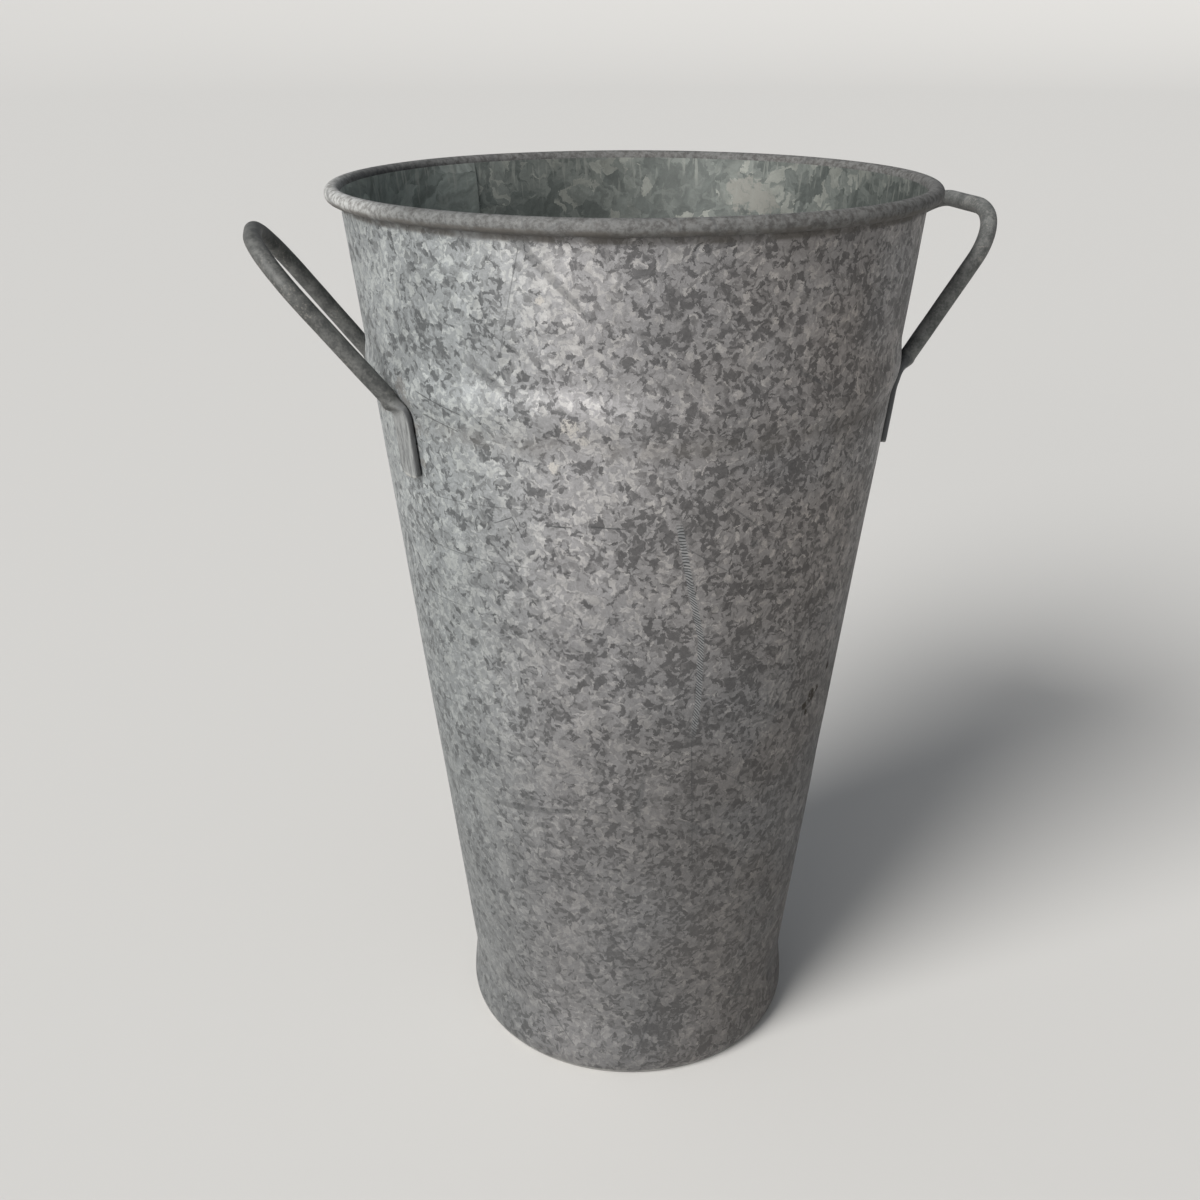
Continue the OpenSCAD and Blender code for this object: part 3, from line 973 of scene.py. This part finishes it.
def makeRod():
    desk = Desk("zincRod")
    look = rodLook
    place = desk.add("TexCoord").outputs["Object"]
    blotch = desk.noise(place, look["size"], 4.0, 0.65)
    fine = desk.noise(place, look["size"] * 0.22, 3.0, 0.65)
    tone = desk.plus(desk.times(blotch, 0.55), desk.times(fine, 0.45))
    colour = desk.mix(desk.span(tone, 0.36, 0.64), look["dark"], look["light"])
    dusty = desk.span(desk.noise(place, 0.016, 2.0), 0.45, 0.62, 0.0, 0.7)
    colour = desk.mix(desk.times(desk.span(fine, 0.56, 0.68), dusty), colour, look["dust"])
    # the flattened ends carry the wall's zinc, with painted shade on their sides and rubbed tips that
    # carry a painted glint
    tabTone = desk.noise(desk.vector("MULTIPLY", place, (1.0, 1.0, 0.22)), 0.0016, 4.0, 0.65)
    tabColour = desk.mix(desk.span(tabTone, 0.36, 0.62), look["tabDark"], look["tabLight"])
    tab, edge, wornGlint = (desk.add("Attribute", attribute_name=name).outputs["Fac"]
                       for name in ("tab", "edge", "wornGlint"))
    colour = desk.mix(desk.span(tab, 0.35, 0.95), colour, tabColour)
    # painted shade along the flattened ends' sides
    colour = desk.mix(desk.times(edge, 0.8), colour, look["edge"])
    # rubbed tips with a painted glint
    colour = desk.mix(desk.times(wornGlint, desk.span(tabTone, 0.40, 0.5)), colour, look["wornGlint"])
    # painted light: a little paler towards +X, where the handle lies in shade, and darker towards -X
    colour = desk.dimmed(colour, desk.span(desk.split(place)[0], -0.14, 0.10, 0.82, 1.3))
    desk.put(desk.shader.inputs["Base Color"], colour)
    desk.put(desk.shader.inputs["Roughness"], desk.span(fine, 0.3, 0.7, *look["rough"]))
    desk.shader.inputs["Metallic"].default_value = look["metal"]
    desk.bumps(*look["bump"], tone)
    return desk.material


def makeDull(name, look):
    # smooth zinc without a clear spangle, for the bottom and the wire
    desk = Desk(name)
    place = desk.add("TexCoord").outputs["Object"]
    blotch = desk.noise(place, look["size"], 4.0, 0.6)
    fine = desk.noise(place, look["size"] * 0.2, 3.0, 0.6)
    tone = desk.plus(desk.times(blotch, 0.6), desk.times(fine, 0.4))
    colour = desk.mix(desk.span(tone, 0.36, 0.64), look["dark"], look["light"])
    desk.put(desk.shader.inputs["Base Color"], colour)
    desk.put(desk.shader.inputs["Roughness"], desk.span(fine, 0.3, 0.7, *look["rough"]))
    desk.shader.inputs["Metallic"].default_value = look["metal"]
    desk.bumps(*look["bump"], tone)
    return desk.material


zincBottomLook = {
    "dark": (0.10, 0.105, 0.10),
    "light": (0.21, 0.215, 0.205),
    "size": 0.014,
    "rough": (0.48, 0.64),
    "metal": 0.6,
    "bump": (0.4, 0.0001),
}
wireLook = {
    "dark": (0.20, 0.20, 0.20),
    "light": (0.34, 0.34, 0.34),
    "size": 0.003,
    "rough": (0.38, 0.54),
    "metal": 0.9,
    "bump": (0.4, 0.0001),
}
zincOutside = makeOutside()
zincInside = makeInside()
zincRod = makeRod()
zincBottom = makeDull("zincBottom", zincBottomLook)
wireSteel = makeDull("wireSteel", wireLook)
print("finishes made")

body = makeBody()
body.data.materials.append(zincOutside)
body.data.materials.append(zincInside)
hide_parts("body")
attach(body, "root")
print("body made,", len(body.data.polygons), "faces")

bottom = makeBottom()
bottom.data.materials.append(zincBottom)
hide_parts("bottom")
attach(bottom, "root")
print("bottom made,", len(bottom.data.polygons), "faces")

for side in ("left", "right"):
    handle = makeHandle("handle_rod_" + side, handleFits[side])
    handle.data.materials.append(zincRod)
    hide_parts("handle_" + side)
    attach(handle, "root")
    print("handle", side, "made,", len(handle.data.polygons), "faces")

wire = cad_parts["rim_wire"]
wire.data.materials.clear()
wire.data.materials.append(wireSteel)

# floor, light and camera: sizes in metres, turns in degrees
studio = {
    "floorFlat": 9.0,
    "floorReach": 30.0,
    "floorRise": 2.6,
    "floorRings": 12,
    "floorSides": 64,
    "floorColour": (0.56, 0.55, 0.53),
    "floorRough": 0.85,
    "floorShine": 0.2,
    "sky": (0.80, 0.84, 0.90),
    "skyStrength": 0.34,
    # each light: turn, lift, spread, strength, colour
    "lights": {
        "keyLight": (-149.0, 36.0, 30.0, 4.5, (1.0, 0.99, 0.975)),
        "windowLight": (-136.0, 5.0, 32.0, 2.15, (1.0, 0.965, 0.93)),
    },
    "cameraPlace": (-0.1580, -0.5509, 0.4403),
    "cameraTurn": -14.73,
    "cameraTip": 67.29,
    "cameraRoll": 0.1,
    "lens": 42.29,
}


def makeFloor():
    # flat round the bucket, and rising gently far away
    rows = []
    for k in range(studio["floorRings"] + 1):
        share = k / studio["floorRings"]
        far = studio["floorFlat"] + (studio["floorReach"] - studio["floorFlat"]) * share
        height = studio["floorRise"] * smoothStep(share)
        rows.append([(far * math.cos(t), far * math.sin(t), height)
                     for t in np.linspace(0, 2 * math.pi, studio["floorSides"], endpoint=False)])
    made = gridMesh("floor", rows)
    work = bmesh.new()
    work.from_mesh(made.data)
    work.verts.ensure_lookup_table()
    work.faces.new([work.verts[k] for k in range(studio["floorSides"])])
    bmesh.ops.recalc_face_normals(work, faces=work.faces)
    work.to_mesh(made.data)
    work.free()
    return made


floor = makeFloor()
floorDesk = Desk("floorPaint")
floorDesk.shader.inputs["Base Color"].default_value = (*studio["floorColour"], 1)
floorDesk.shader.inputs["Roughness"].default_value = studio["floorRough"]
floorDesk.shader.inputs["Specular IOR Level"].default_value = studio["floorShine"]
floor.data.materials.append(floorDesk.material)

for name, (turn, lift, spread, strength, colour) in studio["lights"].items():
    lamp = bpy.data.lights.new(name, "SUN")
    lamp.energy = strength
    lamp.angle = math.radians(spread)
    lamp.color = colour
    holder = bpy.data.objects.new(name, lamp)
    holder.rotation_euler = (math.radians(90 - lift), 0, math.radians(turn + 90))
    bpy.context.scene.collection.objects.link(holder)

world = bpy.data.worlds.new("studioAir")
world.use_nodes = True
world.node_tree.nodes["Background"].inputs[0].default_value = (*studio["sky"], 1)
world.node_tree.nodes["Background"].inputs[1].default_value = studio["skyStrength"]
bpy.context.scene.world = world
bpy.context.scene.view_settings.view_transform = "Standard"

camera = bpy.data.objects.new("camera", bpy.data.cameras.new("camera"))
camera.data.lens = studio["lens"]
camera.data.sensor_width = 36.0
camera.location = studio["cameraPlace"]
camera.rotation_euler = [math.radians(studio[key]) for key in ("cameraTip", "cameraRoll", "cameraTurn")]
camera.data.clip_start = 0.02
camera.data.clip_end = 200
bpy.context.scene.collection.objects.link(camera)
bpy.context.scene.camera = camera
print("studio made")
